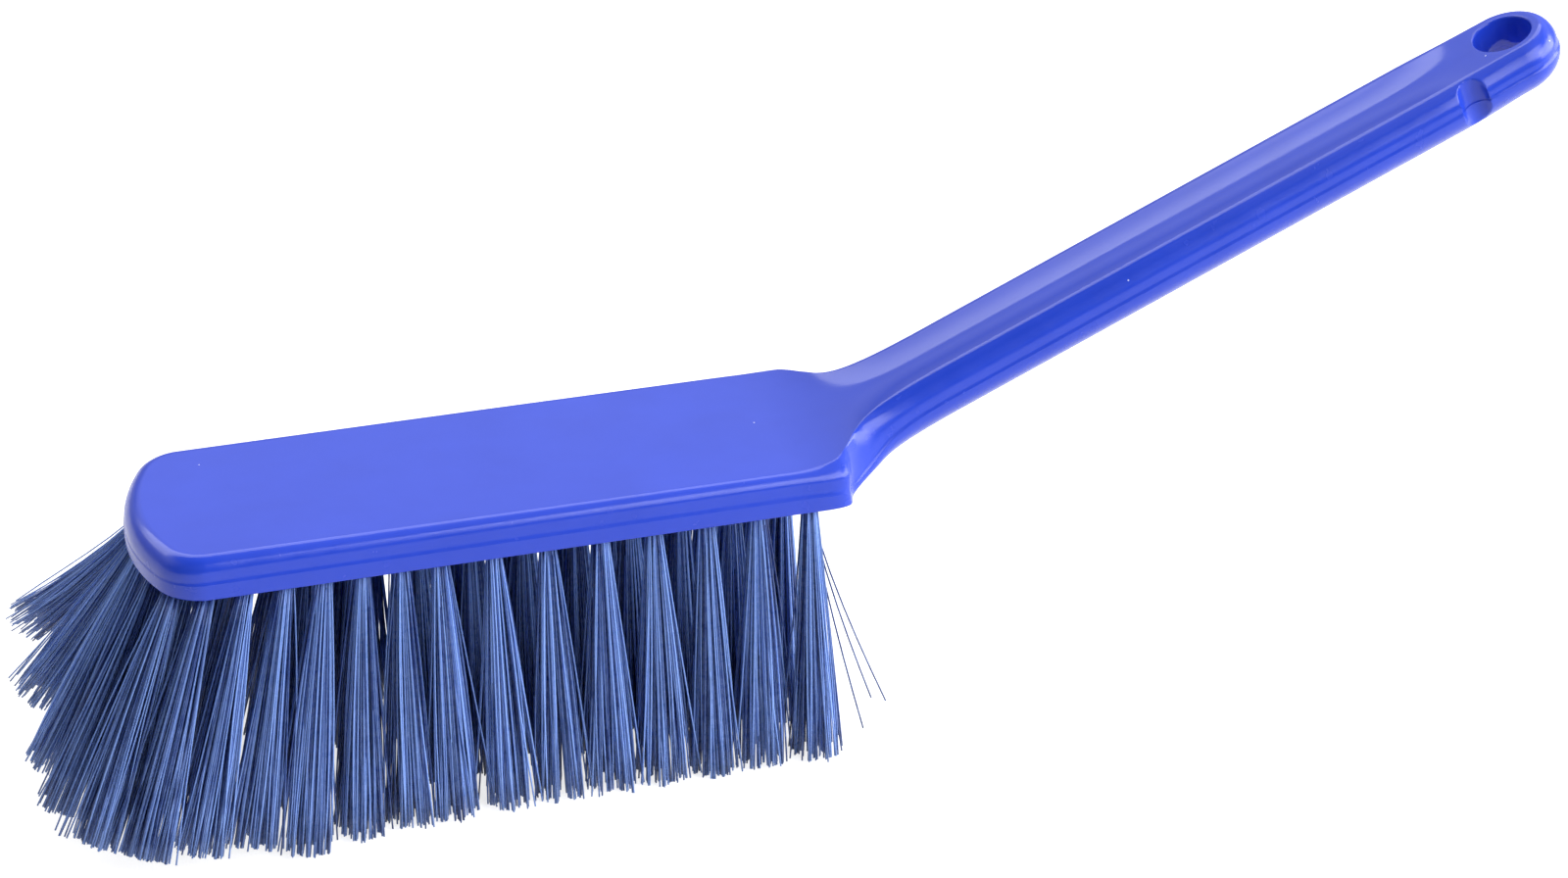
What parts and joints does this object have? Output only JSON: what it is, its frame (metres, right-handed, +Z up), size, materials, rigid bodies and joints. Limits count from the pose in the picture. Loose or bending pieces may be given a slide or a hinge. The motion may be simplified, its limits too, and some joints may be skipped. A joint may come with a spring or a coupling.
{
  "type": "hand broom",
  "caption": "Hand broom: a flat plastic bristle block with a cranked handle and hanging hole, and anchored filament tufts that fan out round the nose.",
  "frame": {"origin": "on the surface that the trimmed bristle ends stand on, below the middle of the object's box", "axes": "+X from the nose of the block to the hanging hole, +Z up, and -Y the side with the clip notch, which is the left side in the hand"},
  "size_m": [0.3655, 0.0982, 0.1536],
  "materials": {
    "moulding": "glossy moulded polypropylene, royal blue",
    "bristle": "drawn polyester filament, steel blue, semi-gloss along its length",
    "anchor": "flat rolled wire"
  },
  "bodies": {
    "root": {"anchors": "anchor", "body": "moulding", "left_inner_tuft_01": "bristle", "left_inner_tuft_02": "bristle", "left_inner_tuft_03": "bristle", "left_inner_tuft_04": "bristle", "left_inner_tuft_05": "bristle", "left_inner_tuft_06": "bristle", "left_inner_tuft_07": "bristle", "left_inner_tuft_08": "bristle", "left_inner_tuft_09": "bristle", "left_inner_tuft_10": "bristle", "left_inner_tuft_11": "bristle", "left_inner_tuft_12": "bristle", "left_tuft_01": "bristle", "left_tuft_02": "bristle", "left_tuft_03": "bristle", "left_tuft_04": "bristle", "left_tuft_05": "bristle", "left_tuft_06": "bristle", "left_tuft_07": "bristle", "left_tuft_08": "bristle", "left_tuft_09": "bristle", "left_tuft_10": "bristle", "left_tuft_11": "bristle", "left_tuft_12": "bristle", "left_tuft_13": "bristle", "left_tuft_14": "bristle", "left_tuft_15": "bristle", "left_tuft_16": "bristle", "nose_tuft": "bristle", "right_inner_tuft_01": "bristle", "right_inner_tuft_02": "bristle", "right_inner_tuft_03": "bristle", "right_inner_tuft_04": "bristle", "right_inner_tuft_05": "bristle", "right_inner_tuft_06": "bristle", "right_inner_tuft_07": "bristle", "right_inner_tuft_08": "bristle", "right_inner_tuft_09": "bristle", "right_inner_tuft_10": "bristle", "right_inner_tuft_11": "bristle", "right_inner_tuft_12": "bristle", "right_tuft_01": "bristle", "right_tuft_02": "bristle", "right_tuft_03": "bristle", "right_tuft_04": "bristle", "right_tuft_05": "bristle", "right_tuft_06": "bristle", "right_tuft_07": "bristle", "right_tuft_08": "bristle", "right_tuft_09": "bristle", "right_tuft_10": "bristle", "right_tuft_11": "bristle", "right_tuft_12": "bristle", "right_tuft_13": "bristle", "right_tuft_14": "bristle", "right_tuft_15": "bristle", "right_tuft_16": "bristle"}
  },
  "joints": []
}
